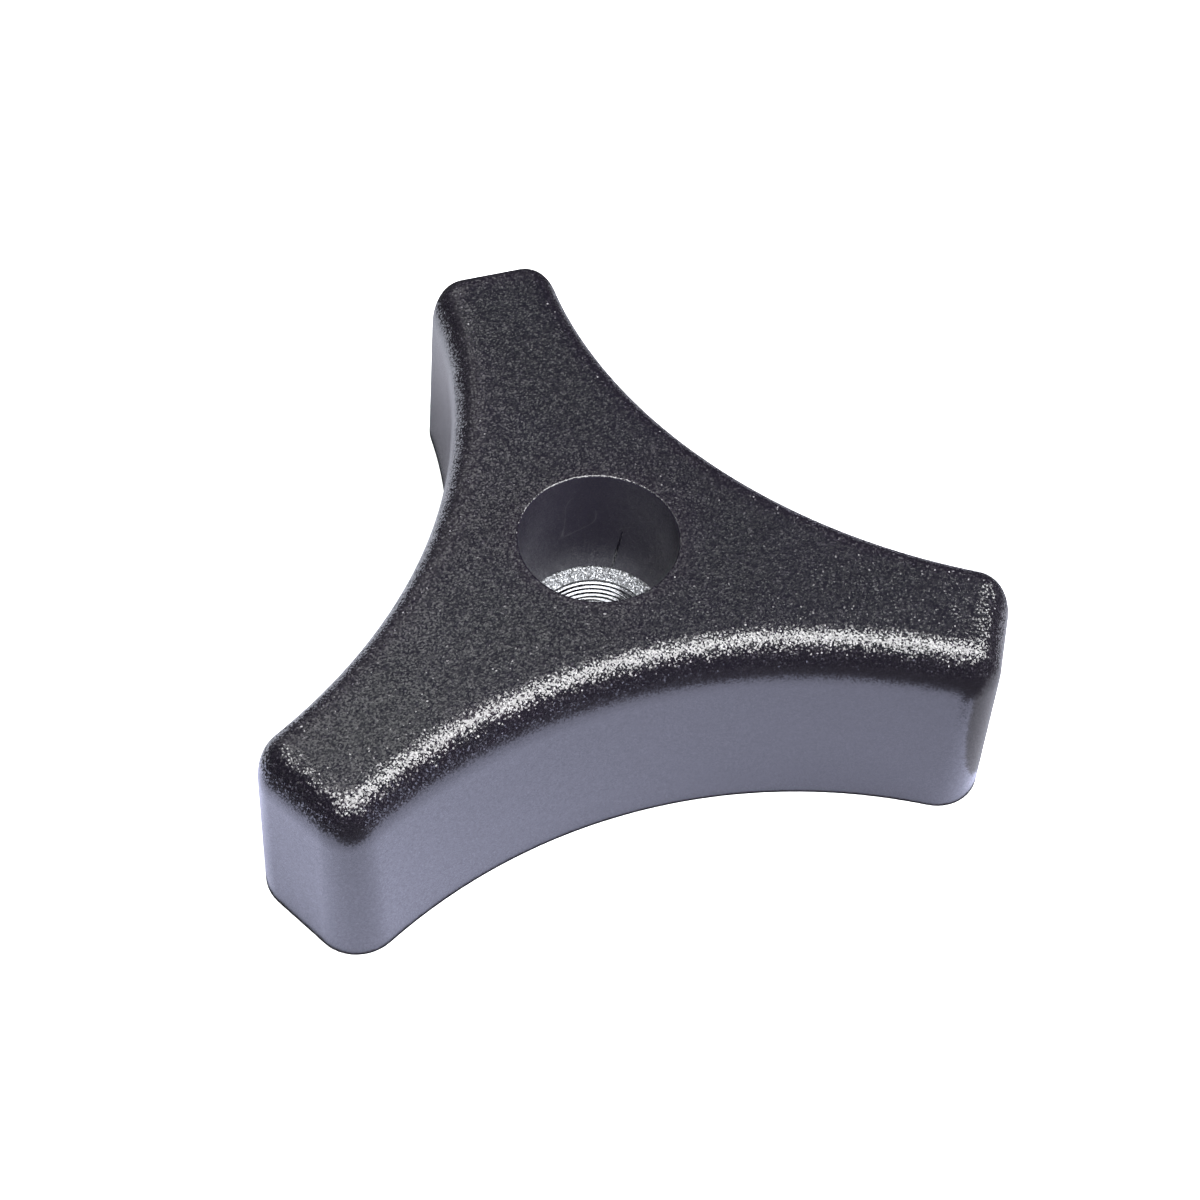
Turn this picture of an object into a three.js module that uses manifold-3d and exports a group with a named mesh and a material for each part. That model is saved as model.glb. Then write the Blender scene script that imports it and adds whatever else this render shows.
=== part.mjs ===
// Three-arm wing nut: a moulded plastic grip around a knurled metal nut.
// Millimetres, +Z up. The thread's axis is the Z axis and one arm points along +Y.
// The origin is the centre of mass, so the base lies BASE_DEPTH below it.
import * as THREE from "three";
import { mergeVertices } from "three/addons/utils/BufferGeometryUtils.js";
import Module from "manifold-3d";

const wasm = await Module();
wasm.setup();

// Grip, seen from above
const ARM_COUNT = 3;
const ARM_REACH = 37.5; // axis to the flat end of an arm, at the base
const SIDE_RADIUS = 51.2; // hollow side that runs from one arm to the next
const SIDE_CENTRE = 67.3; // axis to the centre of that hollow side
const CORNER_RADIUS = 4.1; // upright corner at each side of an arm's end

// Grip, seen from the side
const BODY_HEIGHT = 20.6;
const DRAFT_ANGLE = THREE.MathUtils.degToRad(2.4); // the walls lean in as they rise
const ROUND_INWARD = 2.75; // rolled edge all round the top face, a quarter of an ellipse in section
const ROUND_DOWN = 5.0;
const BASE_DEPTH = 10.5; // origin down to the base

// Coring of the underside: two deep pockets in each arm, with a rib between them
const WALL = 3.0;
const SKIN = 3.5; // thickness left under the top face
const BOSS_RADIUS = 13.5; // solid middle round the insert
const RIB_THICKNESS = 2.0; // along each arm, from the boss to the end wall
const RIB_SETBACK = 1.0; // the rib stops this far above the base

// Insert: an M10 nut, knurled and grooved outside so that the plastic holds it
const INSERT_HEIGHT = 7.6;
const KNURL_RADIUS = 8.0;
const KNURL_DEPTH = 0.4;
const KNURL_TEETH = 36;
const KNURL_CHAMFER = 0.6;
const GROOVE_RADIUS = 7.1;
const GROOVE_WIDTH = 1.8;
const THREAD_MINOR_RADIUS = 4.25; // bore of an M10 x 1.5 thread
const COUNTERSINK_RADIUS = 5.55; // mouth of the 90 degree countersink at each end
const COUNTERBORE_RADIUS = 7.15; // round well above the insert

// Fits and mesh
const GAP = 0.3; // between the plastic and the insert
const OVERRUN = 1.0; // how far a cutting solid passes the face it opens
const ARC_DIVISIONS = 12;
const ROUND_STEPS = 5;
const ROUND_SEGMENTS = 48;

const BLACK_PLASTIC = new THREE.MeshStandardMaterial({
  color: 0x1b1b1d,
  roughness: 0.5,
  metalness: 0.0,
});
const ZINC_STEEL = new THREE.MeshStandardMaterial({
  color: 0xc4c6c8,
  roughness: 0.3,
  metalness: 1.0,
});

// A closed three.js geometry as a solid: shared vertices are merged, and the flat slivers that
// this leaves at a pole are dropped.
function toSolid(geometry) {
  geometry.deleteAttribute("normal");
  geometry.deleteAttribute("uv");
  const merged = mergeVertices(geometry);
  const corners = merged.index.array;
  const kept = [];
  for (let i = 0; i < corners.length; i += 3) {
    const [a, b, c] = corners.slice(i, i + 3);
    if (a !== b && b !== c && c !== a) {
      kept.push(a, b, c);
    }
  }
  return new wasm.Manifold(
    new wasm.Mesh({
      numProp: 3,
      vertProperties: merged.attributes.position.array,
      triVerts: Uint32Array.from(kept),
    }),
  );
}

// A solid back as a three.js geometry.
function toGeometry(solid) {
  const mesh = solid.getMesh();
  const geometry = new THREE.BufferGeometry();
  geometry.setAttribute("position", new THREE.BufferAttribute(mesh.vertProperties, 3));
  geometry.setIndex(new THREE.BufferAttribute(mesh.triVerts, 1));
  geometry.computeVertexNormals();
  return geometry;
}

// A solid of revolution about Z from [radius, height] pairs, listed from the bottom up.
function turned(profile) {
  const points = profile.map(([radius, height]) => new THREE.Vector2(radius, height));
  return toSolid(new THREE.LatheGeometry(points, ROUND_SEGMENTS).rotateX(Math.PI / 2));
}

// Outline of the grip, moved inwards by `inset`, as a ring of points: each arm has a flat end and
// two round corners, and one hollow arc leads to the next arm. The arcs stay tangent whatever the
// inset. Where two arcs meet, the point is listed once.
function gripOutline(inset) {
  const pitch = (2 * Math.PI) / ARM_COUNT;
  const corner = CORNER_RADIUS - inset;
  const side = SIDE_RADIUS + inset;
  const cornerX = ARM_REACH - CORNER_RADIUS;
  const sideX = SIDE_CENTRE * Math.cos(pitch / 2);
  const sideY = SIDE_CENTRE * Math.sin(pitch / 2);
  const cornerY = sideY - Math.sqrt((SIDE_RADIUS + CORNER_RADIUS) ** 2 - (cornerX - sideX) ** 2);
  const tangent = Math.atan2(sideY - cornerY, sideX - cornerX);
  const points = [];
  for (let arm = 0; arm < ARM_COUNT; arm += 1) {
    const turn = Math.PI / 2 + arm * pitch;
    const right = new THREE.Vector2(cornerX, -cornerY).rotateAround(new THREE.Vector2(), turn);
    const left = new THREE.Vector2(cornerX, cornerY).rotateAround(new THREE.Vector2(), turn);
    const hollow = new THREE.Vector2(sideX, sideY).rotateAround(new THREE.Vector2(), turn);
    const start = turn + tangent + Math.PI;
    const end = turn + pitch - tangent + Math.PI;
    const rightArc = new THREE.ArcCurve(right.x, right.y, corner, turn - tangent, turn, false);
    const leftArc = new THREE.ArcCurve(left.x, left.y, corner, turn, turn + tangent, false);
    const hollowArc = new THREE.ArcCurve(hollow.x, hollow.y, side, start, end, true);
    points.push(...rightArc.getPoints(ARC_DIVISIONS));
    points.push(...leftArc.getPoints(ARC_DIVISIONS).slice(0, -1));
    points.push(...hollowArc.getPoints(ARC_DIVISIONS).slice(0, -1));
  }
  return points;
}

// A closed solid through a stack of grip outlines, each given as [height, inset], from the bottom up.
function lofted(levels) {
  const rings = levels.map(([height, inset]) => {
    return gripOutline(inset).map((point) => new THREE.Vector3(point.x, point.y, height));
  });
  const count = rings[0].length;
  const indices = [];
  for (let level = 0; level < rings.length - 1; level += 1) {
    for (let i = 0; i < count; i += 1) {
      const a = level * count + i;
      const b = level * count + ((i + 1) % count);
      indices.push(a, b, b + count, a, b + count, a + count);
    }
  }
  const top = (rings.length - 1) * count;
  for (const [a, b, c] of THREE.ShapeUtils.triangulateShape(rings[0], [])) {
    indices.push(a, c, b);
  }
  for (const [a, b, c] of THREE.ShapeUtils.triangulateShape(rings.at(-1), [])) {
    indices.push(top + a, top + b, top + c);
  }
  const geometry = new THREE.BufferGeometry().setFromPoints(rings.flat());
  geometry.setIndex(indices);
  return toSolid(geometry);
}

// Outside of the grip: drafted walls, then the rolled top edge, then the flat top. The roll starts
// where its slope is the wall's.
function gripShell() {
  const lean = Math.tan(DRAFT_ANGLE);
  const start = Math.atan((ROUND_DOWN / ROUND_INWARD) * lean);
  const shoulder = BODY_HEIGHT - ROUND_DOWN * (1 - Math.sin(start));
  const levels = [[0, 0]];
  for (let step = 0; step <= ROUND_STEPS; step += 1) {
    const angle = start + ((Math.PI / 2 - start) * step) / ROUND_STEPS;
    const rise = ROUND_DOWN * (Math.sin(angle) - Math.sin(start));
    const inward = ROUND_INWARD * (Math.cos(start) - Math.cos(angle));
    levels.push([shoulder + rise, shoulder * lean + inward]);
  }
  return lofted(levels);
}

// What the mould takes out of the underside: the inside of the three arms, less the boss and the ribs.
function pockets() {
  const ceiling = BODY_HEIGHT - SKIN;
  const lean = Math.tan(DRAFT_ANGLE);
  const inside = lofted([
    [-OVERRUN, WALL],
    [0, WALL],
    [ceiling, WALL + ceiling * lean],
  ]);
  const boss = turned([
    [0, -2 * OVERRUN],
    [BOSS_RADIUS, -2 * OVERRUN],
    [BOSS_RADIUS, 0],
    [BOSS_RADIUS + ceiling * lean, ceiling + OVERRUN],
    [0, ceiling + OVERRUN],
  ]);
  const ribHeight = ceiling - RIB_SETBACK + OVERRUN;
  let cores = inside.subtract(boss);
  for (let arm = 0; arm < ARM_COUNT; arm += 1) {
    const rib = new THREE.BoxGeometry(ARM_REACH, RIB_THICKNESS, ribHeight);
    rib.translate(ARM_REACH / 2, 0, RIB_SETBACK + ribHeight / 2);
    rib.rotateZ(Math.PI / 2 + (arm * 2 * Math.PI) / ARM_COUNT);
    cores = cores.subtract(toSolid(rib));
  }
  return cores;
}

// The well above the insert and the seat that the plastic forms round it, with a lip over its
// upper shoulder and a bead in its groove.
function insertSeat() {
  const seat = KNURL_RADIUS + GAP;
  const bead = GROOVE_RADIUS + GAP;
  const beadHalf = GROOVE_WIDTH / 2 - GAP;
  const middle = INSERT_HEIGHT / 2;
  return turned([
    [0, -OVERRUN],
    [seat, -OVERRUN],
    [seat, middle - beadHalf],
    [bead, middle - beadHalf],
    [bead, middle + beadHalf],
    [seat, middle + beadHalf],
    [seat, INSERT_HEIGHT + GAP],
    [COUNTERBORE_RADIUS, INSERT_HEIGHT + GAP],
    [COUNTERBORE_RADIUS, BODY_HEIGHT + OVERRUN],
    [0, BODY_HEIGHT + OVERRUN],
  ]);
}

function gripBody() {
  return gripShell().subtract(pockets()).subtract(insertSeat());
}

// Knurled bar: a round bar with straight V teeth along it.
function knurledBar() {
  const outline = [];
  for (let tooth = 0; tooth < KNURL_TEETH; tooth += 1) {
    const crest = (tooth * 2 * Math.PI) / KNURL_TEETH;
    const root = crest + Math.PI / KNURL_TEETH;
    const low = KNURL_RADIUS - KNURL_DEPTH;
    outline.push(new THREE.Vector2(KNURL_RADIUS * Math.cos(crest), KNURL_RADIUS * Math.sin(crest)));
    outline.push(new THREE.Vector2(low * Math.cos(root), low * Math.sin(root)));
  }
  const bar = new THREE.ExtrudeGeometry(new THREE.Shape(outline), {
    depth: INSERT_HEIGHT,
    bevelEnabled: false,
  });
  return toSolid(bar);
}

// The nut: chamfered at both ends and grooved round its middle.
function threadedInsert() {
  const clear = KNURL_RADIUS + GAP;
  const chamfer = clear - KNURL_CHAMFER;
  const middle = INSERT_HEIGHT / 2;
  const envelope = turned([
    [0, 0],
    [chamfer, 0],
    [clear, KNURL_CHAMFER],
    [clear, middle - GROOVE_WIDTH / 2],
    [GROOVE_RADIUS, middle - GROOVE_WIDTH / 2],
    [GROOVE_RADIUS, middle + GROOVE_WIDTH / 2],
    [clear, middle + GROOVE_WIDTH / 2],
    [clear, INSERT_HEIGHT - KNURL_CHAMFER],
    [chamfer, INSERT_HEIGHT],
    [0, INSERT_HEIGHT],
  ]);
  const sink = COUNTERSINK_RADIUS - THREAD_MINOR_RADIUS;
  const bore = turned([
    [0, -OVERRUN],
    [COUNTERSINK_RADIUS + OVERRUN, -OVERRUN],
    [THREAD_MINOR_RADIUS, sink],
    [THREAD_MINOR_RADIUS, INSERT_HEIGHT - sink],
    [COUNTERSINK_RADIUS + OVERRUN, INSERT_HEIGHT + OVERRUN],
    [0, INSERT_HEIGHT + OVERRUN],
  ]);
  return knurledBar().intersect(envelope).subtract(bore);
}

function named(name, solid, material) {
  const mesh = new THREE.Mesh(toGeometry(solid), material);
  mesh.name = name;
  return mesh;
}

const wingNut = new THREE.Group();
wingNut.add(named("grip_body", gripBody(), BLACK_PLASTIC));
wingNut.add(named("threaded_insert", threadedInsert(), ZINC_STEEL));
wingNut.position.z = -BASE_DEPTH;

export default wingNut;
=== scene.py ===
# A three-arm wing nut: a black moulded grip with a knurled, tapped steel insert moulded into it.
# Metres, +Z up, the thread's axis on Z and one arm along +Y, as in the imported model.
import math

import bpy
from mathutils import Euler, Matrix, Vector


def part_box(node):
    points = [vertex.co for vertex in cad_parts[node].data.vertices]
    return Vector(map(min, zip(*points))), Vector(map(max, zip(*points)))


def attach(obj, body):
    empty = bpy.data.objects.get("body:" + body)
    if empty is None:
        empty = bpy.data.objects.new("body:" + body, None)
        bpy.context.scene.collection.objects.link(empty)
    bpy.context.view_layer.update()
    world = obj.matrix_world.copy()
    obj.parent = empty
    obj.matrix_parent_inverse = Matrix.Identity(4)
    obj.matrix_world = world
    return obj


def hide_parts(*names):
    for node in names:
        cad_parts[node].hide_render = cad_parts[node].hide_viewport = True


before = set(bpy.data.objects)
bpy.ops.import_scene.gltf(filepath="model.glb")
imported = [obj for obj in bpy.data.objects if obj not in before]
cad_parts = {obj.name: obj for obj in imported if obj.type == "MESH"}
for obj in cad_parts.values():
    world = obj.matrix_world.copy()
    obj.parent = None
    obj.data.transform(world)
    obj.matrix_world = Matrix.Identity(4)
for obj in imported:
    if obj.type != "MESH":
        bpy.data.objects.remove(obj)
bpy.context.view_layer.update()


# --- Grip: the moulding ---------------------------------------------------------------------------
# The grip is one injection moulding in black glass-filled nylon. Three equal arms are joined by
# hollow sides, the walls lean in so that the part leaves the mould, and the top edge is rolled.
# The top and its edge carry the spark-eroded grain of the mould, and the sides are drawn smoother.
grip_low, grip_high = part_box("grip_body")
GRIP_BASE = grip_low.z
GRIP_TOP = grip_high.z
GRIP_HEIGHT = GRIP_TOP - GRIP_BASE
ARM_COUNT = 3
ARM_PITCH = 2 * math.pi / ARM_COUNT
ARM_REACH = grip_high.y
SIDE_RADIUS = 0.0512
SIDE_CENTRE = 0.0673
CORNER_RADIUS = 0.0041
DRAFT = math.radians(2.4)
LEAN = math.tan(DRAFT)
ROUND_INWARD = 0.00275  # the rolled edge is a quarter of an ellipse in section
ROUND_DOWN = 0.005
ROUND_START = math.atan(ROUND_DOWN / ROUND_INWARD * LEAN)
CROWN_RINGS = ((0.0003, 0.00003), (0.0003, 0.000015))  # width and rise of each ring round the flat top
CROWN = sum(rise for width, rise in CROWN_RINGS)
SHOULDER = GRIP_HEIGHT - CROWN - ROUND_DOWN * (1 - math.sin(ROUND_START))
BASE_EDGE = 0.0002
MERGE_DISTANCE = 1e-6
SHARP_TURN = math.radians(60)  # the faces at a square edge turn by more than this
CORNER_STEPS = 12
SIDE_STEPS = 56
ROUND_STEPS = 18
COUNTER_CLOCKWISE = (0, 0, -1)  # a spin turns clockwise about the axis it is given


def select_only(piece):
    """Leave this piece alone selected and active."""
    bpy.ops.object.select_all(action="DESELECT")
    piece.select_set(True)
    bpy.context.view_layer.objects.active = piece


def start_point(name, place):
    """A new mesh that is one point, left in edit mode with the point selected."""
    bpy.ops.object.select_all(action="DESELECT")
    bpy.ops.mesh.primitive_plane_add(size=0.001)
    piece = bpy.context.active_object
    piece.name = name
    bpy.ops.object.mode_set(mode="EDIT")
    bpy.ops.mesh.select_mode(type="VERT")
    bpy.ops.mesh.select_all(action="SELECT")
    bpy.ops.mesh.merge(type="CENTER")
    bpy.ops.transform.translate(value=place)
    return piece


def draw_to(step):
    """Draw a straight edge from the selected point, which moves on by this step."""
    bpy.ops.mesh.extrude_vertices_move(TRANSFORM_OT_translate={"value": step})


def close_up():
    """Merge doubled points, turn all faces outwards and leave edit mode."""
    bpy.ops.mesh.select_all(action="SELECT")
    bpy.ops.mesh.remove_doubles(threshold=MERGE_DISTANCE)
    bpy.ops.mesh.normals_make_consistent(inside=False)
    bpy.ops.object.mode_set(mode="OBJECT")


def edit_sharp_edges(piece, smallest_turn, wanted):
    """Open a piece with only those edges selected that its faces turn at and whose ends pass the test."""
    select_only(piece)
    bpy.ops.object.mode_set(mode="EDIT")
    bpy.ops.mesh.select_mode(type="EDGE")
    bpy.ops.mesh.select_all(action="DESELECT")
    bpy.ops.mesh.edges_select_sharp(sharpness=smallest_turn)
    bpy.ops.object.mode_set(mode="OBJECT")
    points = piece.data.vertices
    chosen = [edge.index for edge in piece.data.edges
              if edge.select and wanted(*(points[i].co for i in edge.vertices))]
    bpy.ops.object.mode_set(mode="EDIT")
    bpy.ops.mesh.select_all(action="DESELECT")
    bpy.ops.object.mode_set(mode="OBJECT")
    for index in chosen:
        piece.data.edges[index].select = True
    bpy.ops.object.mode_set(mode="EDIT")


def draw_grip_outline(name, inset, height):
    """The grip's outline as a chain of spins, moved inwards by inset and filled as one face."""
    corner_x = ARM_REACH - CORNER_RADIUS
    side_x = SIDE_CENTRE * math.cos(ARM_PITCH / 2)
    side_y = SIDE_CENTRE * math.sin(ARM_PITCH / 2)
    reach = SIDE_RADIUS + CORNER_RADIUS
    corner_y = side_y - math.sqrt(reach ** 2 - (corner_x - side_x) ** 2)
    tangent = math.atan2(side_y - corner_y, side_x - corner_x)
    radius = CORNER_RADIUS - inset
    first = Matrix.Rotation(math.pi / 2, 3, "Z")
    start = Vector((corner_x + radius * math.cos(tangent), -corner_y - radius * math.sin(tangent), height))
    piece = start_point(name, first @ start)
    for arm in range(ARM_COUNT):
        turn = Matrix.Rotation(math.pi / 2 + arm * ARM_PITCH, 3, "Z")
        right = turn @ Vector((corner_x, -corner_y, height))
        left = turn @ Vector((corner_x, corner_y, height))
        hollow = turn @ Vector((side_x, side_y, height))
        sweep = ARM_PITCH - 2 * tangent
        bpy.ops.mesh.spin(steps=CORNER_STEPS, angle=tangent, center=right, axis=COUNTER_CLOCKWISE)
        draw_to(left - right)
        bpy.ops.mesh.spin(steps=CORNER_STEPS, angle=tangent, center=left, axis=COUNTER_CLOCKWISE)
        bpy.ops.mesh.spin(steps=SIDE_STEPS, angle=sweep, center=hollow, axis=COUNTER_CLOCKWISE)
    bpy.ops.mesh.select_all(action="SELECT")
    bpy.ops.mesh.remove_doubles(threshold=MERGE_DISTANCE)
    bpy.ops.mesh.edge_face_add()
    bpy.ops.object.mode_set(mode="OBJECT")
    if piece.data.polygons[0].normal.z < 0:
        piece.data.flip_normals()
    bpy.ops.object.mode_set(mode="EDIT")
    bpy.ops.mesh.select_all(action="SELECT")
    return piece


def cap_base(piece):
    """Fill the open lower end of a piece that was raised from its outline."""
    bpy.ops.mesh.select_all(action="DESELECT")
    bpy.ops.mesh.select_mode(type="EDGE")
    bpy.ops.mesh.select_non_manifold()
    bpy.ops.mesh.edge_face_add()
    close_up()


def combine(piece, other, operation):
    """Cut, join or intersect a piece with another solid, which is used up."""
    select_only(piece)
    step = piece.modifiers.new(operation.title(), "BOOLEAN")
    step.operation = operation
    step.solver = "EXACT"
    step.object = other
    bpy.ops.object.modifier_apply(modifier=step.name)
    bpy.data.objects.remove(other)


WALL_SHARES = (0.02, 0.32, 0.32, 0.32, 0.02)  # of the wall's height, with a narrow ring at each end

grip = draw_grip_outline("grip_moulding", 0.0, GRIP_BASE)
for share in WALL_SHARES:
    bpy.ops.mesh.inset(thickness=SHOULDER * share * LEAN, depth=SHOULDER * share)
for step in range(ROUND_STEPS):
    before = ROUND_START + (math.pi / 2 - ROUND_START) * step / ROUND_STEPS
    after = ROUND_START + (math.pi / 2 - ROUND_START) * (step + 1) / ROUND_STEPS
    inward = ROUND_INWARD * (math.cos(before) - math.cos(after))
    rise = ROUND_DOWN * (math.sin(after) - math.sin(before))
    bpy.ops.mesh.inset(thickness=inward, depth=rise)
for width, rise in CROWN_RINGS:
    bpy.ops.mesh.inset(thickness=width, depth=rise)
cap_base(grip)
edit_sharp_edges(grip, SHARP_TURN, lambda a, b: max(a.z, b.z) < GRIP_BASE + BASE_EDGE)
bpy.ops.mesh.bevel(offset=BASE_EDGE, segments=3)
close_up()


# --- Grip: the coring of its underside --------------------------------------------------------------
# The mould's core takes two deep pockets out of each arm, so that the walls cool evenly and the top
# doesn't sink. A solid boss is left round the insert and a thin rib down the middle of each arm.
WALL = 0.003
SKIN = 0.0035
CEILING = GRIP_HEIGHT - SKIN
BOSS_RADIUS = 0.0135
RIB_THICKNESS = 0.002
RIB_SETBACK = 0.001
OVERRUN = 0.001
INNER_CORNER = 0.0005
UPRIGHT_TURN = math.radians(25)
BOSS_STEPS = 128
MOUTH_EDGE = 0.00015

coring = draw_grip_outline("coring", WALL, GRIP_BASE - OVERRUN)
bpy.ops.mesh.inset(thickness=0, depth=OVERRUN)
bpy.ops.mesh.inset(thickness=CEILING * LEAN, depth=CEILING)
cap_base(coring)

bpy.ops.object.select_all(action="DESELECT")
bpy.ops.mesh.primitive_cone_add(
    vertices=BOSS_STEPS,
    radius1=BOSS_RADIUS - 2 * OVERRUN * LEAN,
    radius2=BOSS_RADIUS + (CEILING + OVERRUN) * LEAN,
    depth=CEILING + 3 * OVERRUN,
    location=(0, 0, GRIP_BASE - 2 * OVERRUN + (CEILING + 3 * OVERRUN) / 2),
)
boss = bpy.context.active_object
bpy.ops.object.transform_apply(location=True)
combine(coring, boss, "DIFFERENCE")

for arm in range(ARM_COUNT):
    rib_height = CEILING - RIB_SETBACK + OVERRUN
    turn = Matrix.Rotation(math.pi / 2 + arm * ARM_PITCH, 3, "Z")
    middle = turn @ Vector((ARM_REACH / 2, 0, GRIP_BASE + RIB_SETBACK + rib_height / 2))
    bpy.ops.object.select_all(action="DESELECT")
    bpy.ops.mesh.primitive_cube_add(size=1, location=middle, rotation=turn.to_euler())
    rib = bpy.context.active_object
    rib.scale = (ARM_REACH, RIB_THICKNESS, rib_height)
    bpy.ops.object.transform_apply(location=True, rotation=True, scale=True)
    combine(coring, rib, "DIFFERENCE")

edit_sharp_edges(coring, UPRIGHT_TURN, lambda a, b: abs(a.z - b.z) > CEILING / 2)
bpy.ops.mesh.bevel(offset=INNER_CORNER, segments=4)
close_up()
combine(grip, coring, "DIFFERENCE")
edit_sharp_edges(grip, SHARP_TURN, lambda a, b: max(a.z, b.z) < GRIP_BASE + BASE_EDGE / 2)
bpy.ops.mesh.bevel(offset=MOUTH_EDGE, segments=2)
close_up()


# --- Grip: the well and the seat of the insert ------------------------------------------------------
# A pin of the mould holds the insert by its end, and leaves the round well above it. The plastic
# closes round the knurling, flows into its groove, and forms a lip over the insert's upper shoulder.
insert_low, insert_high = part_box("threaded_insert")
INSERT_BASE = insert_low.z
INSERT_TOP = insert_high.z
INSERT_HEIGHT = INSERT_TOP - INSERT_BASE
KNURL_RADIUS = insert_high.x
WELL_RADIUS = 0.00715
SEAT_CLEARANCE = 0.00001
GROOVE_RADIUS = 0.0071
GROOVE_WIDTH = 0.0018
LIP_GAP = 0.00012
WELL_RIM = 0.0002
WELL_STEPS = 128
GRIP_SMOOTH = math.radians(32)


def turn_profile(name, profile, steps):
    """A solid turned about Z from (radius, height) pairs, which start and end on the axis."""
    piece = start_point(name, (profile[0][0], 0, profile[0][1]))
    for (radius, height), (next_radius, next_height) in zip(profile, profile[1:]):
        draw_to((next_radius - radius, 0, next_height - height))
    bpy.ops.mesh.select_all(action="SELECT")
    bpy.ops.mesh.spin(steps=steps, angle=2 * math.pi, center=(0, 0, 0), axis=COUNTER_CLOCKWISE)
    close_up()
    return piece


def smooth_evenly(piece, angle):
    """Shade a piece smooth up to this angle, and even where large and small faces meet."""
    select_only(piece)
    bpy.ops.object.shade_smooth_by_angle(angle=angle)
    evening = piece.modifiers.new("Even shading", "WEIGHTED_NORMAL")
    evening.keep_sharp = True
    bpy.ops.object.modifier_apply(modifier=evening.name)


seat = KNURL_RADIUS + SEAT_CLEARANCE
groove_middle = INSERT_BASE + INSERT_HEIGHT / 2
well = turn_profile("well", [
    (0, GRIP_BASE - OVERRUN),
    (seat, GRIP_BASE - OVERRUN),
    (seat, groove_middle - GROOVE_WIDTH / 2),
    (GROOVE_RADIUS, groove_middle - GROOVE_WIDTH / 2),
    (GROOVE_RADIUS, groove_middle + GROOVE_WIDTH / 2),
    (seat, groove_middle + GROOVE_WIDTH / 2),
    (seat, INSERT_TOP + LIP_GAP),
    (WELL_RADIUS, INSERT_TOP + LIP_GAP),
    (WELL_RADIUS, GRIP_TOP + OVERRUN),
    (0, GRIP_TOP + OVERRUN),
], WELL_STEPS)
combine(grip, well, "DIFFERENCE")

well_edge = WELL_RADIUS + SEAT_CLEARANCE
edit_sharp_edges(
    grip,
    SHARP_TURN,
    lambda a, b: min(a.z, b.z) > GRIP_TOP - WELL_RIM and max(a.xy.length, b.xy.length) < well_edge,
)
bpy.ops.mesh.bevel(offset=WELL_RIM, segments=3)
bpy.ops.object.mode_set(mode="OBJECT")

smooth_evenly(grip, GRIP_SMOOTH)


# --- Grip: black nylon --------------------------------------------------------------------------------
# The nylon is dyed black and filled with glass. The mould's spark-eroded grain stands on the top and
# the rolled edge: small facets at all angles, which glitter near a reflection. The drawn sides and
# the well are smoother, and the well has the knit line where the plastic met behind the pin.
FACET_SIZE = 0.00013
LUMP_SIZE = 0.0004
LUMP_HEIGHT = 0.000012
CLOUD_SIZE = 0.009
GRAIN_START = 0.0016  # heights above the foot of the rolled edge
GRAIN_FULL = 0.0036
SIDE_GRAIN = 0.14
TOP_GRAIN = 0.62
WELL_GRAIN = 0.30
WELL_DULLNESS = 0.18
KNIT_ANGLE = math.radians(59)
KNIT_LEAN = 20.0  # radians for each metre of height
KNIT_WIDTH = math.radians(1.6)
KNIT_CLEAR = 0.003  # the line is clear up to this height above the insert, and then fades
KNIT_TOP = GRIP_TOP - 0.0055
KNIT_DEPTH = 1.5  # as a multiple of the height of the lumps
KNIT_GLOSS = 0.36
SCRATCH_SIZE = 0.0045
SCRATCH_WIDTH = 0.006


def add_node(tree, kind, values=None, **settings):
    """Add a node to a tree, with its settings and the values of its unlinked inputs."""
    node = tree.nodes.new(kind)
    for name, value in settings.items():
        setattr(node, name, value)
    for name, value in (values or {}).items():
        node.inputs[name].default_value = value
    return node


def start_group(name, inputs, outputs):
    """A new node group with these sockets, as (name, kind) pairs, and its two end nodes."""
    group = bpy.data.node_groups.new(name, "ShaderNodeTree")
    for socket, kind in inputs:
        group.interface.new_socket(socket, in_out="INPUT", socket_type=kind)
    for socket, kind in outputs:
        group.interface.new_socket(socket, in_out="OUTPUT", socket_type=kind)
    return group, group.nodes.new("NodeGroupInput"), group.nodes.new("NodeGroupOutput")


def place_group(tree, group, values):
    """Place a node group in a material, with the values of its unlinked inputs."""
    node = tree.nodes.new("ShaderNodeGroup")
    node.node_tree = group
    for name, value in values.items():
        node.inputs[name].default_value = value
    return node


def add_radius(tree, place):
    """The distance of each place on the piece from the thread's axis."""
    across = add_node(tree, "ShaderNodeVectorMath", {1: (1, 1, 0)}, operation="MULTIPLY")
    tree.links.new(place, across.inputs[0])
    length = add_node(tree, "ShaderNodeVectorMath", operation="LENGTH")
    tree.links.new(across.outputs[0], length.inputs[0])
    return length.outputs["Value"]


# Facets: small cells, each with its own tilt. Most lean a little, and a few lean much more.
facets, given, made = start_group(
    "facets",
    (("Place", "NodeSocketVector"), ("Normal", "NodeSocketVector"), ("Cells per Metre", "NodeSocketFloat"),
     ("Least Tilt", "NodeSocketFloat"), ("Added Tilt", "NodeSocketFloat"), ("Rarity", "NodeSocketFloat"),
     ("Share", "NodeSocketFloat")),
    (("Normal", "NodeSocketVector"), ("Draw", "NodeSocketFloat")),
)
link = facets.links.new
cells = add_node(facets, "ShaderNodeTexVoronoi")
link(given.outputs["Place"], cells.inputs["Vector"])
link(given.outputs["Cells per Metre"], cells.inputs["Scale"])
draw = add_node(facets, "ShaderNodeTexWhiteNoise", noise_dimensions="3D")
link(cells.outputs["Position"], draw.inputs["Vector"])
rare = add_node(facets, "ShaderNodeMath", operation="POWER")
link(draw.outputs["Value"], rare.inputs[0])
link(given.outputs["Rarity"], rare.inputs[1])
tilt = add_node(facets, "ShaderNodeMath", operation="MULTIPLY_ADD")
link(rare.outputs[0], tilt.inputs[0])
link(given.outputs["Added Tilt"], tilt.inputs[1])
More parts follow.
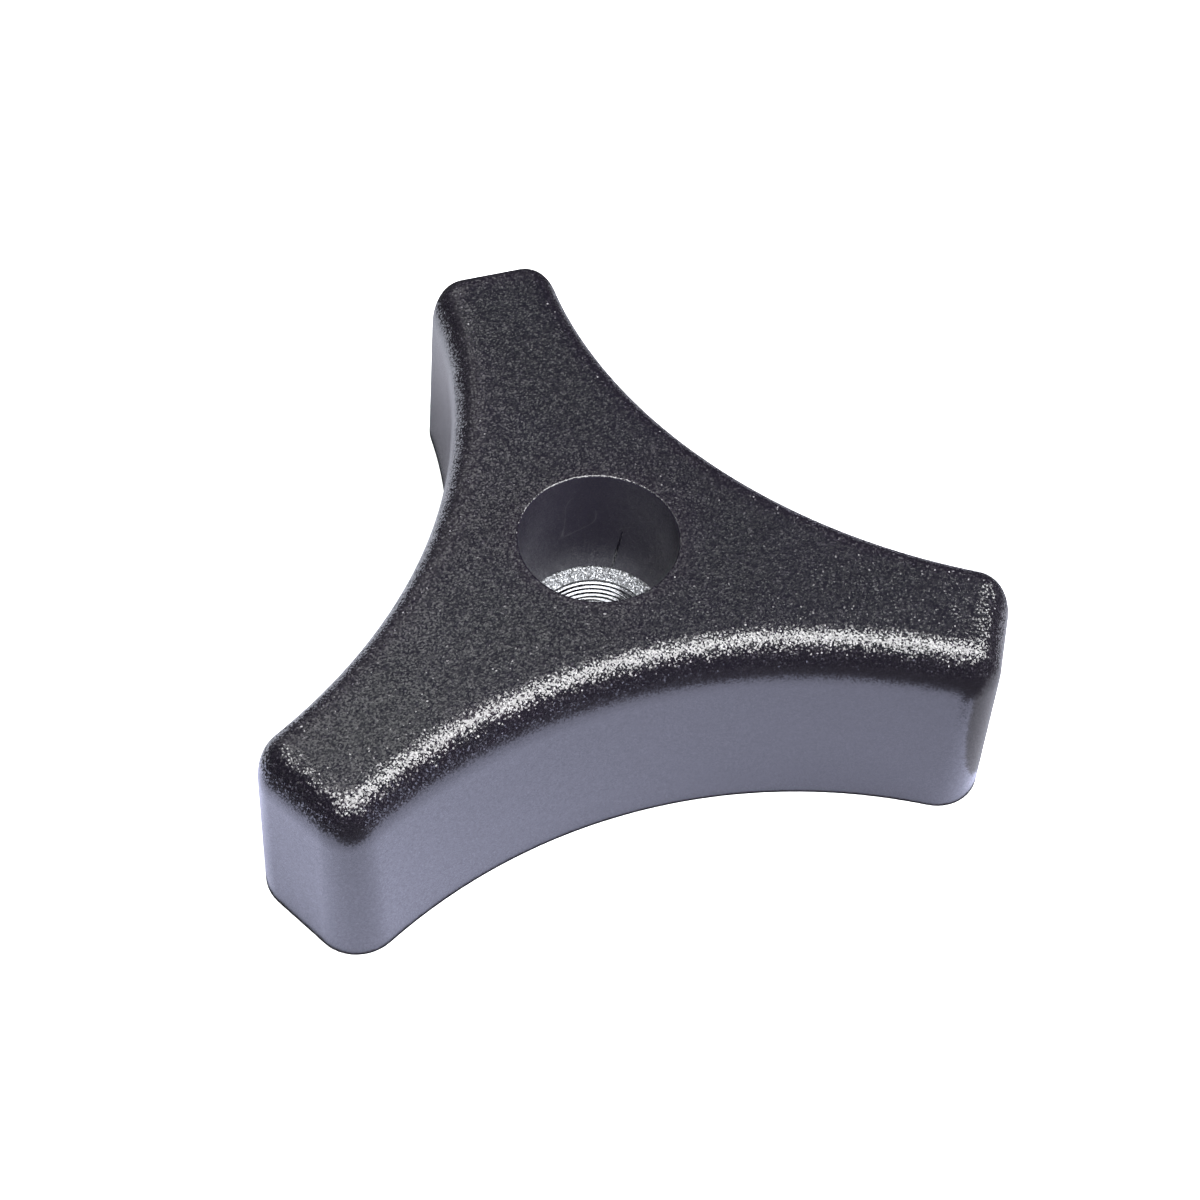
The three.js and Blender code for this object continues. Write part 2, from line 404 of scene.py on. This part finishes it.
link(given.outputs["Least Tilt"], tilt.inputs[2])
shared_tilt = add_node(facets, "ShaderNodeMath", operation="MULTIPLY")
link(tilt.outputs[0], shared_tilt.inputs[0])
link(given.outputs["Share"], shared_tilt.inputs[1])
lean = add_node(facets, "ShaderNodeVectorMath", {1: (0.5, 0.5, 0.5)}, operation="SUBTRACT")
link(cells.outputs["Color"], lean.inputs[0])
leaning = add_node(facets, "ShaderNodeVectorMath", operation="SCALE")
link(lean.outputs[0], leaning.inputs[0])
link(shared_tilt.outputs[0], leaning.inputs["Scale"])
turned = add_node(facets, "ShaderNodeVectorMath", operation="ADD")
link(given.outputs["Normal"], turned.inputs[0])
link(leaning.outputs[0], turned.inputs[1])
unit = add_node(facets, "ShaderNodeVectorMath", operation="NORMALIZE")
link(turned.outputs[0], unit.inputs[0])
link(unit.outputs[0], made.inputs["Normal"])
link(draw.outputs["Value"], made.inputs["Draw"])

# Scratches: thin lines along a stretched noise, broken up by a second noise.
scratches, given, made = start_group(
    "scratches",
    (("Place", "NodeSocketVector"), ("Lines per Metre", "NodeSocketFloat"), ("Width", "NodeSocketFloat")),
    (("Mask", "NodeSocketFloat"),),
)
link = scratches.links.new
slanted = add_node(scratches, "ShaderNodeMapping", {"Rotation": (0.5, 0.3, 0.7), "Scale": (1.0, 0.05, 1.0)})
link(given.outputs["Place"], slanted.inputs["Vector"])
course = add_node(scratches, "ShaderNodeTexNoise", {"Detail": 0.0})
link(slanted.outputs[0], course.inputs["Vector"])
link(given.outputs["Lines per Metre"], course.inputs["Scale"])
off_line = add_node(scratches, "ShaderNodeMath", {1: 0.5}, operation="SUBTRACT")
link(course.outputs["Fac"], off_line.inputs[0])
distance = add_node(scratches, "ShaderNodeMath", operation="ABSOLUTE")
link(off_line.outputs[0], distance.inputs[0])
line = add_node(scratches, "ShaderNodeMapRange", {"To Min": 1.0, "To Max": 0.0})
link(distance.outputs[0], line.inputs["Value"])
link(given.outputs["Width"], line.inputs["From Max"])
breaks = add_node(scratches, "ShaderNodeTexNoise", {"Detail": 1.0})
link(given.outputs["Place"], breaks.inputs["Vector"])
link(given.outputs["Lines per Metre"], breaks.inputs["Scale"])
kept = add_node(scratches, "ShaderNodeMapRange", {"From Min": 0.56, "From Max": 0.62})
link(breaks.outputs["Fac"], kept.inputs["Value"])
mask = add_node(scratches, "ShaderNodeMath", operation="MULTIPLY")
link(line.outputs[0], mask.inputs[0])
link(kept.outputs[0], mask.inputs[1])
link(mask.outputs[0], made.inputs["Mask"])

nylon = bpy.data.materials.new("black_nylon")
nylon.use_nodes = True
tree = nylon.node_tree
link = tree.links.new
shader = tree.nodes["Principled BSDF"]
shader.inputs["IOR"].default_value = 1.53
place = add_node(tree, "ShaderNodeTexCoord").outputs["Object"]
parts = add_node(tree, "ShaderNodeSeparateXYZ")
link(place, parts.inputs[0])
radius = add_radius(tree, place)
surface = add_node(tree, "ShaderNodeNewGeometry")

# Share of the grain: all of it on the rolled edge, less on the flat top, which is worn, and little on
# the sides and in the well.
outside_well = add_node(tree, "ShaderNodeMapRange", {
    "From Min": WELL_RADIUS + WELL_RIM * 0.1,
    "From Max": WELL_RADIUS + WELL_RIM * 0.3,
})
link(radius, outside_well.inputs["Value"])
outer_grain = add_node(tree, "ShaderNodeMapRange", {
    "From Min": GRIP_BASE + SHOULDER + GRAIN_START,
    "From Max": GRIP_BASE + SHOULDER + GRAIN_FULL,
    "To Min": SIDE_GRAIN,
    "To Max": 1.0,
}, interpolation_type="SMOOTHSTEP")
link(parts.outputs["Z"], outer_grain.inputs["Value"])
flat_top = add_node(tree, "ShaderNodeMapRange", {
    "From Min": GRIP_TOP - CROWN,
    "From Max": GRIP_TOP,
    "To Min": 1.0,
    "To Max": TOP_GRAIN,
})
link(parts.outputs["Z"], flat_top.inputs["Value"])
worn_grain = add_node(tree, "ShaderNodeMath", operation="MULTIPLY")
link(outer_grain.outputs[0], worn_grain.inputs[0])
link(flat_top.outputs[0], worn_grain.inputs[1])
grain_share = add_node(tree, "ShaderNodeMix", {"A": WELL_GRAIN})
link(outside_well.outputs[0], grain_share.inputs["Factor"])
link(worn_grain.outputs[0], grain_share.inputs["B"])

# The grain: facets on low rounded lumps.
grain = place_group(tree, facets, {
    "Cells per Metre": 1 / FACET_SIZE,
    "Least Tilt": 0.56,
    "Added Tilt": 0.60,
    "Rarity": 24.0,
})
link(place, grain.inputs["Place"])
link(surface.outputs["Normal"], grain.inputs["Normal"])
link(grain_share.outputs["Result"], grain.inputs["Share"])
lumps = add_node(tree, "ShaderNodeTexNoise", {"Scale": 1 / LUMP_SIZE, "Detail": 2.0, "Roughness": 0.6})
link(place, lumps.inputs["Vector"])
shared_lumps = add_node(tree, "ShaderNodeMath", operation="MULTIPLY")
link(lumps.outputs["Fac"], shared_lumps.inputs[0])
link(grain_share.outputs["Result"], shared_lumps.inputs[1])

# The knit line: a fine groove in the far wall of the well, which leans a little as it rises from the
# insert.
bearing = add_node(tree, "ShaderNodeMath", operation="ARCTAN2")
link(parts.outputs["Y"], bearing.inputs[0])
link(parts.outputs["X"], bearing.inputs[1])
upright = add_node(tree, "ShaderNodeMath", {1: KNIT_LEAN}, operation="MULTIPLY_ADD")
link(parts.outputs["Z"], upright.inputs[0])
link(bearing.outputs[0], upright.inputs[2])
off_knit = add_node(tree, "ShaderNodeMath", {1: KNIT_ANGLE + KNIT_LEAN * INSERT_TOP}, operation="SUBTRACT")
link(upright.outputs[0], off_knit.inputs[0])
knit_distance = add_node(tree, "ShaderNodeMath", operation="ABSOLUTE")
link(off_knit.outputs[0], knit_distance.inputs[0])
knit = add_node(tree, "ShaderNodeMapRange", {"From Max": KNIT_WIDTH, "To Min": 1.0, "To Max": 0.0})
link(knit_distance.outputs[0], knit.inputs["Value"])
knit_fade = add_node(tree, "ShaderNodeMapRange", {
    "From Min": INSERT_TOP + KNIT_CLEAR,
    "From Max": KNIT_TOP,
    "To Min": 1.0,
    "To Max": 0.0,
})
link(parts.outputs["Z"], knit_fade.inputs["Value"])
in_well = add_node(tree, "ShaderNodeMath", {0: 1.0}, operation="SUBTRACT")
link(outside_well.outputs[0], in_well.inputs[1])
knit_low = add_node(tree, "ShaderNodeMath", operation="MULTIPLY")
link(knit.outputs[0], knit_low.inputs[0])
link(knit_fade.outputs[0], knit_low.inputs[1])
knit_line = add_node(tree, "ShaderNodeMath", operation="MULTIPLY")
link(knit_low.outputs[0], knit_line.inputs[0])
link(in_well.outputs[0], knit_line.inputs[1])

relief = add_node(tree, "ShaderNodeMath", {1: -KNIT_DEPTH}, operation="MULTIPLY_ADD")
link(knit_line.outputs[0], relief.inputs[0])
link(shared_lumps.outputs[0], relief.inputs[2])
bump = add_node(tree, "ShaderNodeBump", {"Strength": 1.0, "Distance": LUMP_HEIGHT})
link(relief.outputs[0], bump.inputs["Height"])
link(grain.outputs["Normal"], bump.inputs["Normal"])
link(bump.outputs[0], shader.inputs["Normal"])

# Colour: near black with a blue cast, a little clouded. Faint pale flecks in the grain are fibre ends
# and painted glints. The well is a little lighter and bluer, with grey scratches from screws, and its
# knit line is black.
clouds = add_node(tree, "ShaderNodeTexNoise", {"Scale": 1 / CLOUD_SIZE, "Detail": 4.0})
link(place, clouds.inputs["Vector"])
ground = add_node(tree, "ShaderNodeMix", {
    "A": (0.0018, 0.0014, 0.0028, 1),
    "B": (0.0038, 0.0031, 0.0056, 1),
}, data_type="RGBA")
link(clouds.outputs["Fac"], ground.inputs["Factor"])
# The well's colour is lighter and bluer than the rest of the grip.
lightened_well = add_node(tree, "ShaderNodeMix", {"B": (0.0105, 0.0092, 0.0165, 1)}, data_type="RGBA")
link(in_well.outputs[0], lightened_well.inputs["Factor"])
link(ground.outputs["Result"], lightened_well.inputs["A"])
# Painted glints: pale flecks in the colour of the grain, which also stand for fibre ends.
fibre_and_glint_fleck = add_node(tree, "ShaderNodeMapRange", {"From Min": 0.86, "From Max": 1.0})
link(grain.outputs["Draw"], fibre_and_glint_fleck.inputs["Value"])
shared_fibre_and_glint_fleck = add_node(tree, "ShaderNodeMath", operation="MULTIPLY")
link(fibre_and_glint_fleck.outputs[0], shared_fibre_and_glint_fleck.inputs[0])
link(grain_share.outputs["Result"], shared_fibre_and_glint_fleck.inputs[1])
fibre_and_glint_flecked = add_node(tree, "ShaderNodeMix", {"B": (0.022, 0.020, 0.026, 1)}, data_type="RGBA")
link(shared_fibre_and_glint_fleck.outputs[0], fibre_and_glint_flecked.inputs["Factor"])
link(lightened_well.outputs["Result"], fibre_and_glint_flecked.inputs["A"])
wear = place_group(tree, scratches, {"Lines per Metre": 1 / SCRATCH_SIZE, "Width": SCRATCH_WIDTH})
link(place, wear.inputs["Place"])
well_wear = add_node(tree, "ShaderNodeMath", operation="MULTIPLY")
link(wear.outputs["Mask"], well_wear.inputs[0])
link(in_well.outputs[0], well_wear.inputs[1])
scratched = add_node(tree, "ShaderNodeMix", {"B": (0.05, 0.05, 0.056, 1)}, data_type="RGBA")
link(well_wear.outputs[0], scratched.inputs["Factor"])
link(fibre_and_glint_flecked.outputs["Result"], scratched.inputs["A"])
knitted = add_node(tree, "ShaderNodeMix", {"B": (0.002, 0.002, 0.003, 1)}, data_type="RGBA")
link(knit_line.outputs[0], knitted.inputs["Factor"])
link(scratched.outputs["Result"], knitted.inputs["A"])
link(knitted.outputs["Result"], shader.inputs["Base Color"])

# Gloss: satin, uneven from place to place, and duller in the well. The knit line is bare resin, so
# it shines, and mirrors the dark wall opposite.
gloss = add_node(tree, "ShaderNodeMapRange", {"To Min": 0.27, "To Max": 0.19})
link(clouds.outputs["Fac"], gloss.inputs["Value"])
dulled = add_node(tree, "ShaderNodeMath", {1: WELL_DULLNESS}, operation="MULTIPLY_ADD")
link(in_well.outputs[0], dulled.inputs[0])
link(gloss.outputs[0], dulled.inputs[2])
knit_gloss = add_node(tree, "ShaderNodeMath", {1: -KNIT_GLOSS}, operation="MULTIPLY_ADD")
link(knit_line.outputs[0], knit_gloss.inputs[0])
link(dulled.outputs[0], knit_gloss.inputs[2])
link(knit_gloss.outputs[0], shader.inputs["Roughness"])

grip.data.materials.clear()
grip.data.materials.append(nylon)
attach(grip, "root")
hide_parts("grip_body")


# --- Insert: the knurled blank ----------------------------------------------------------------------
# The insert is a free-cutting steel nut, turned from bar. Straight knurling keeps it from turning in
# the plastic, and the groove round its middle keeps it from being pulled out.
KNURL_TEETH = 36
KNURL_DEPTH = 0.0004
KNURL_CHAMFER = 0.0006
LATHE_STEPS = 144

bpy.ops.object.select_all(action="DESELECT")
bpy.ops.mesh.primitive_cylinder_add(
    vertices=2 * KNURL_TEETH,
    radius=KNURL_RADIUS,
    depth=INSERT_HEIGHT,
    location=(0, 0, INSERT_BASE + INSERT_HEIGHT / 2),
)
insert = bpy.context.active_object
insert.name = "tapped_insert"
bpy.ops.object.transform_apply(location=True)
bpy.ops.object.mode_set(mode="EDIT")
bpy.ops.mesh.select_mode(type="VERT")
bpy.ops.mesh.select_all(action="DESELECT")
bpy.ops.object.mode_set(mode="OBJECT")
for point in insert.data.vertices:
    corner = round(math.atan2(point.co.x, point.co.y) / math.pi * KNURL_TEETH)
    point.select = corner % 2 == 1
bpy.ops.object.mode_set(mode="EDIT")
root_share = 1 - KNURL_DEPTH / KNURL_RADIUS
bpy.ops.transform.resize(value=(root_share, root_share, 1), center_override=(0, 0, 0))
bpy.ops.object.mode_set(mode="OBJECT")

clear = KNURL_RADIUS + OVERRUN
groove_low = groove_middle - GROOVE_WIDTH / 2
groove_high = groove_middle + GROOVE_WIDTH / 2
blank = turn_profile("blank", [
    (0, INSERT_BASE),
    (KNURL_RADIUS - KNURL_CHAMFER, INSERT_BASE),
    (clear, INSERT_BASE + KNURL_CHAMFER + OVERRUN),
    (clear, groove_low),
    (GROOVE_RADIUS, groove_low),
    (GROOVE_RADIUS, groove_high),
    (clear, groove_high),
    (clear, INSERT_TOP - KNURL_CHAMFER - OVERRUN),
    (KNURL_RADIUS - KNURL_CHAMFER, INSERT_TOP),
    (0, INSERT_TOP),
], LATHE_STEPS)
combine(insert, blank, "INTERSECT")


# --- Insert: the tapped hole ------------------------------------------------------------------------
# The hole is drilled, countersunk at both ends and tapped M10 x 1.5. The tool leaves a few fine
# rings on each countersink.
THREAD_PITCH = 0.0015
THREAD_MAJOR = 0.00505
THREAD_MINOR = 0.0042
COUNTERSINK_RADIUS = 0.00555
TOOL_RINGS = 5
TOOL_RING_DEPTH = 0.00004
THREAD_STEPS = 96
CUT_TOLERANCE = 1e-7
INSERT_SMOOTH = math.radians(12)

flank = (THREAD_MAJOR - THREAD_MINOR) * math.tan(math.radians(30))
crest_flat = THREAD_PITCH / 4
root_flat = THREAD_PITCH - crest_flat - 2 * flank
turns = math.ceil((INSERT_HEIGHT + 4 * THREAD_PITCH) / THREAD_PITCH)
tap = start_point("tap", (THREAD_MINOR, 0, INSERT_BASE - 2 * THREAD_PITCH))
draw_to((0, 0, crest_flat))
draw_to((THREAD_MAJOR - THREAD_MINOR, 0, flank))
draw_to((0, 0, root_flat))
draw_to((THREAD_MINOR - THREAD_MAJOR, 0, flank))
bpy.ops.object.mode_set(mode="OBJECT")
helix = tap.modifiers.new("Helix", "SCREW")
helix.angle = 2 * math.pi
helix.screw_offset = THREAD_PITCH
helix.iterations = turns
helix.steps = THREAD_STEPS
helix.render_steps = THREAD_STEPS
helix.use_merge_vertices = True
select_only(tap)
bpy.ops.object.modifier_apply(modifier=helix.name)
bpy.ops.object.mode_set(mode="EDIT")
bpy.ops.mesh.select_all(action="SELECT")
bpy.ops.mesh.remove_doubles(threshold=MERGE_DISTANCE)
for end, outward in ((INSERT_BASE - OVERRUN / 2, -1), (INSERT_TOP + OVERRUN / 2, 1)):
    bpy.ops.mesh.select_all(action="SELECT")
    bpy.ops.mesh.bisect(plane_co=(0, 0, end), plane_no=(0, 0, outward), use_fill=True,
                        clear_outer=True, threshold=CUT_TOLERANCE)
close_up()
combine(insert, tap, "DIFFERENCE")

sink = COUNTERSINK_RADIUS - THREAD_MINOR
countersink = [(0, -OVERRUN), (COUNTERSINK_RADIUS + OVERRUN, -OVERRUN), (COUNTERSINK_RADIUS, 0)]
for ring in range(TOOL_RINGS):
    for share, cut in ((0.5, TOOL_RING_DEPTH), (1.0, 0)):
        way = sink * (ring + share) / TOOL_RINGS
        countersink.append((COUNTERSINK_RADIUS - way + cut, way + cut))
countersink.append((0, sink))
for end, inward in ((INSERT_BASE, 1), (INSERT_TOP, -1)):
    profile = [(radius, end + inward * way) for radius, way in countersink]
    cone = turn_profile("countersink", profile, LATHE_STEPS)
    combine(insert, cone, "DIFFERENCE")

smooth_evenly(insert, INSERT_SMOOTH)


# --- Insert: zinc-plated steel ------------------------------------------------------------------------
# The plating is bright but crystalline, so that the flat face sparkles in small grains. The turned
# surfaces below keep the rings of the tool, and the plating is a little darker in the countersink and
# the thread.
ZINC_GRAIN = 0.00011
FACE_ROUGHNESS = 0.44
TURNED_ROUGHNESS = 0.09
SCRATCH_ROUGHNESS = 0.25  # added in a scratch
TURNED_CRYSTALS = 0.03
TURNED_DARKENING = 0.55
SINK_EDGE = 0.0002
TURNING_PITCH = 0.00012
TURNING_DEPTH = 0.000006
STAIN_SIZE = 0.0011

steel = bpy.data.materials.new("zinc_plated_steel")
steel.use_nodes = True
tree = steel.node_tree
link = tree.links.new
shader = tree.nodes["Principled BSDF"]
shader.inputs["Metallic"].default_value = 1.0
place = add_node(tree, "ShaderNodeTexCoord").outputs["Object"]
radius = add_radius(tree, place)
surface = add_node(tree, "ShaderNodeNewGeometry")


def change_at_countersink(inside, outside):
    """A value which changes from inside to outside over the edge of the countersink."""
    change = add_node(tree, "ShaderNodeMapRange", {
        "From Min": COUNTERSINK_RADIUS - SINK_EDGE,
        "From Max": COUNTERSINK_RADIUS,
        "To Min": inside,
        "To Max": outside,
    })
    link(radius, change.inputs["Value"])
    return change.outputs[0]


# The crystals are strong on the faces outside the countersink and faint inside it.
crystals = place_group(tree, facets, {
    "Cells per Metre": 1 / ZINC_GRAIN,
    "Least Tilt": 0.44,
    "Added Tilt": 0.5,
    "Rarity": 2.0,
})
link(place, crystals.inputs["Place"])
link(surface.outputs["Normal"], crystals.inputs["Normal"])
link(change_at_countersink(TURNED_CRYSTALS, 1.0), crystals.inputs["Share"])

# The fine rings of the tool: one ridge for each turn of the lathe.
turns_across = add_node(tree, "ShaderNodeMath", {1: 2 * math.pi / TURNING_PITCH}, operation="MULTIPLY")
link(radius, turns_across.inputs[0])
ridge = add_node(tree, "ShaderNodeMath", operation="SINE")
link(turns_across.outputs[0], ridge.inputs[0])
bump = add_node(tree, "ShaderNodeBump", {"Strength": 1.0, "Distance": TURNING_DEPTH})
link(ridge.outputs[0], bump.inputs["Height"])
link(crystals.outputs["Normal"], bump.inputs["Normal"])
link(bump.outputs[0], shader.inputs["Normal"])

# Colour and gloss: each crystal a little lighter or darker, with grey stains and fine scratches.
# The turned surfaces are much glossier than the flat face, and darker.
tone = add_node(tree, "ShaderNodeMix", {
    "A": (0.13, 0.135, 0.145, 1),
    "B": (0.38, 0.39, 0.41, 1),
}, data_type="RGBA")
link(crystals.outputs["Draw"], tone.inputs["Factor"])
stains = add_node(tree, "ShaderNodeTexNoise", {"Scale": 1 / STAIN_SIZE, "Detail": 3.0})
link(place, stains.inputs["Vector"])
stained_share = add_node(tree, "ShaderNodeMapRange", {"From Min": 0.55, "From Max": 0.8, "To Max": 0.5})
link(stains.outputs["Fac"], stained_share.inputs["Value"])
stained = add_node(tree, "ShaderNodeMix", {"B": (0.30, 0.30, 0.31, 1)}, data_type="RGBA")
link(stained_share.outputs[0], stained.inputs["Factor"])
link(tone.outputs["Result"], stained.inputs["A"])
# The plating is darker inside the countersink and the thread.
darkened_inside = add_node(tree, "ShaderNodeMix", {"B": (0.07, 0.07, 0.075, 1)}, data_type="RGBA")
link(change_at_countersink(TURNED_DARKENING, 0.0), darkened_inside.inputs["Factor"])
link(stained.outputs["Result"], darkened_inside.inputs["A"])
link(darkened_inside.outputs["Result"], shader.inputs["Base Color"])
wear = place_group(tree, scratches, {"Lines per Metre": 1 / STAIN_SIZE, "Width": SCRATCH_WIDTH})
link(place, wear.inputs["Place"])
dulled = add_node(tree, "ShaderNodeMath", {1: SCRATCH_ROUGHNESS}, operation="MULTIPLY_ADD")
link(wear.outputs["Mask"], dulled.inputs[0])
link(change_at_countersink(TURNED_ROUGHNESS, FACE_ROUGHNESS), dulled.inputs[2])
link(dulled.outputs[0], shader.inputs["Roughness"])

insert.data.materials.clear()
insert.data.materials.append(steel)
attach(insert, "root")
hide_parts("threaded_insert")


# --- Stage, light and camera ------------------------------------------------------------------------
# The nut lies on white paper. Two soft boxes stand close in front of it, one at the left and one at
# the right, and two dim ones stand for the pale ceiling at the back. Cards on the paper are there for
# reflections only, and their colours are painted: a faintly blue painted reflection of the near paper,
# and painted shade on the far paper, on the paper beside the nut and round its foot.
PAPER_GAP = 0.00002
PAPER_SIZE = 4.0
FAR = PAPER_SIZE / 2
LEFT, RIGHT, FRONT, BACK = -0.058, 0.060, -0.043, 0.062
SHADE_FRONT = 0.002
SHADE_SIDE = 0.032
SHADE_CORNER = -0.019
CONTACT_WIDTH = 0.0003
WHITE = (0.92, 0.92, 0.92, 1)
# Colours of the cards: blue for a painted reflection of the lit paper, greys and black for painted shade.
BRIGHT_BLUE = (0.42, 0.435, 0.585, 1)
PALE_GREY = (0.33, 0.34, 0.39, 1)
DARK_GREY = (0.18, 0.18, 0.21, 1)
BLACK = (0.01, 0.01, 0.012, 1)


def make_matt(name, colour):
    """A matt material in one colour."""
    material = bpy.data.materials.new(name)
    material.use_nodes = True
    shader = material.node_tree.nodes["Principled BSDF"]
    shader.inputs["Base Color"].default_value = colour
    shader.inputs["Roughness"].default_value = 0.9
    return material


bpy.ops.object.select_all(action="DESELECT")
bpy.ops.mesh.primitive_plane_add(size=PAPER_SIZE, location=(0, 0, GRIP_BASE - PAPER_GAP))
paper = bpy.context.active_object
paper.name = "paper"
paper.data.materials.append(make_matt("white_paper", WHITE))


def stage_reflected(card, colour):
    """Put a card on the stage which only reflections and highlights see: its colour is painted light and
    shade in them.
    """
    card.data.materials.append(make_matt(card.name, colour))
    card.visible_camera = False
    card.visible_diffuse = False
    card.visible_shadow = False


def add_reflected_card(name, low, high, colour, depth=PAPER_GAP / 2):
    """An oblong card on the paper from one corner to the other, for reflections only, painting light and
    shade in them.
    """
    middle = (Vector(low) + Vector(high)) / 2
    bpy.ops.object.select_all(action="DESELECT")
    bpy.ops.mesh.primitive_plane_add(size=1, location=(middle.x, middle.y, GRIP_BASE - depth))
    card = bpy.context.active_object
    card.name = name
    card.scale = (high[0] - low[0], high[1] - low[1], 1)
    bpy.ops.object.transform_apply(location=True, scale=True)
    stage_reflected(card, colour)


# Black cards far off and grey cards beside the nut paint shade in the reflections; the blue sheet near the
# nut paints a reflection of the lit paper.
add_reflected_card("front_painted_shade", (-FAR, -FAR), (FAR, FRONT), BLACK)
add_reflected_card("back_painted_shade", (-FAR, BACK), (FAR, FAR), BLACK)
add_reflected_card("left_painted_shade", (-FAR, FRONT), (LEFT, BACK), BLACK)
add_reflected_card("right_painted_shade", (RIGHT, FRONT), (FAR, BACK), BLACK)
add_reflected_card("near_painted_reflection", (LEFT, FRONT), (SHADE_SIDE, SHADE_FRONT), BRIGHT_BLUE)
add_reflected_card("near_right_painted_shade", (SHADE_SIDE, FRONT), (RIGHT, SHADE_CORNER), DARK_GREY)
add_reflected_card("shaded_right", (SHADE_SIDE, SHADE_CORNER), (RIGHT, SHADE_FRONT), DARK_GREY)
add_reflected_card("front_right_painted_shade", (0.022, FRONT), (0.040, -0.037), BLACK, PAPER_GAP / 4)
add_reflected_card("shaded_left", (LEFT, SHADE_FRONT), (-0.012, BACK), PALE_GREY)
add_reflected_card("shaded_back", (-0.012, SHADE_FRONT), (RIGHT, BACK), DARK_GREY)
# A black card just round the foot, seen only in reflections: a painted contact shadow on the lowest part of
# the walls.
contact = draw_grip_outline("contact_shade", -CONTACT_WIDTH, GRIP_BASE - PAPER_GAP / 4)
bpy.ops.object.mode_set(mode="OBJECT")
stage_reflected(contact, BLACK)

world = bpy.data.worlds.new("studio")
world.use_nodes = True
world.node_tree.nodes["Background"].inputs["Color"].default_value = (0.05, 0.05, 0.06, 1)
world.node_tree.nodes["Background"].inputs["Strength"].default_value = 1.0
bpy.context.scene.world = world


def add_softbox(name, toward, distance, size, energy):
    """A square soft light facing the nut, with its distance and size in metres and its energy in watts."""
    bpy.ops.object.light_add(type="AREA", location=Vector(toward).normalized() * distance)
    light = bpy.context.active_object
    light.name = name
    light.data.size = size
    light.data.energy = energy
    light.rotation_euler = light.location.to_track_quat("Z", "Y").to_euler()


add_softbox("left_softbox", (-0.17, -0.33, 0.93), 0.36, 0.27, 4.1)
add_softbox("right_softbox", (0.47, -0.26, 0.85), 0.36, 0.27, 4.1)
add_softbox("back_light", (-0.16, 0.52, 0.84), 0.9, 0.4, 1.5)
add_softbox("pale_ceiling", (-0.30, 0.70, 0.65), 1.6, 1.6, 3.5)

VIEW_AZIMUTH = math.radians(-20.28)
VIEW_ELEVATION = math.radians(51.92)
VIEW_ROLL = math.radians(3.52)
VIEW_DISTANCE = 0.2089
VIEW_TARGET = Vector((0.00357, 0.00839, GRIP_BASE))
bpy.ops.object.camera_add()
camera = bpy.context.active_object
camera.data.sensor_width = 36
camera.data.lens = 63.52
facing = Euler((math.pi / 2 - VIEW_ELEVATION, 0, VIEW_AZIMUTH)).to_matrix()
camera.location = VIEW_TARGET + facing @ Vector((0, 0, VIEW_DISTANCE))
camera.rotation_euler = (facing @ Matrix.Rotation(VIEW_ROLL, 3, "Z")).to_euler()
bpy.context.scene.camera = camera
bpy.context.scene.view_settings.view_transform = "Standard"
